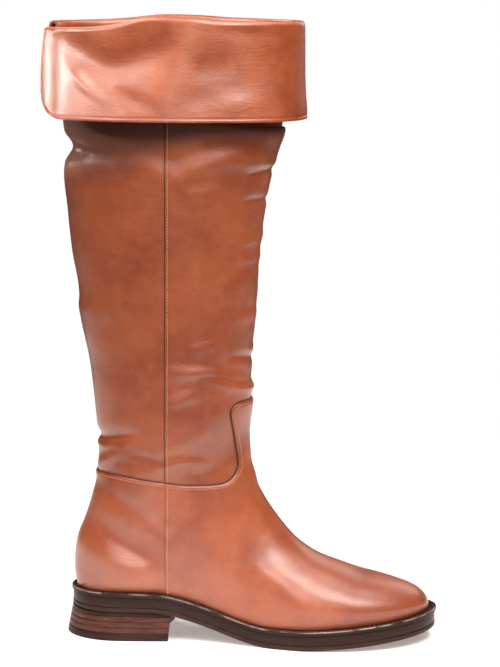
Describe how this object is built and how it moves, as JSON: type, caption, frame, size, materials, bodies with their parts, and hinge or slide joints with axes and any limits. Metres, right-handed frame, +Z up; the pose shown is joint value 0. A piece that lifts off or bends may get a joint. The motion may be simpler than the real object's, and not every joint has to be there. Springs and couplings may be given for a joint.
{
  "type": "over-the-knee boot",
  "caption": "Over-the-knee boot in tan leather with its wide cuff turned down, a welted sole and a low stacked heel.",
  "frame": {"origin": "on the floor under the middle of the heel", "axes": "+X towards the toe, +Y towards the inner side of the foot, +Z up the leg"},
  "size_m": [0.2891, 0.1167, 0.4498],
  "materials": {
    "tan_leather": "smooth, softly waxed",
    "sole_edge_leather": "dark, polished edge",
    "stacked_leather": "stained, polished edge",
    "heel_rubber": "matt",
    "insole_board": "matt"
  },
  "bodies": {
    "root": {"upper": "tan_leather", "shaft": "tan_leather", "cuff": "tan_leather", "welt": "sole_edge_leather", "midsole": "sole_edge_leather", "outsole": "sole_edge_leather", "heel_base_lift": "sole_edge_leather", "heel_lift_1": "stacked_leather", "heel_lift_2": "stacked_leather", "heel_lift_3": "stacked_leather", "heel_top_piece": "heel_rubber", "insole": "insole_board"}
  },
  "joints": []
}
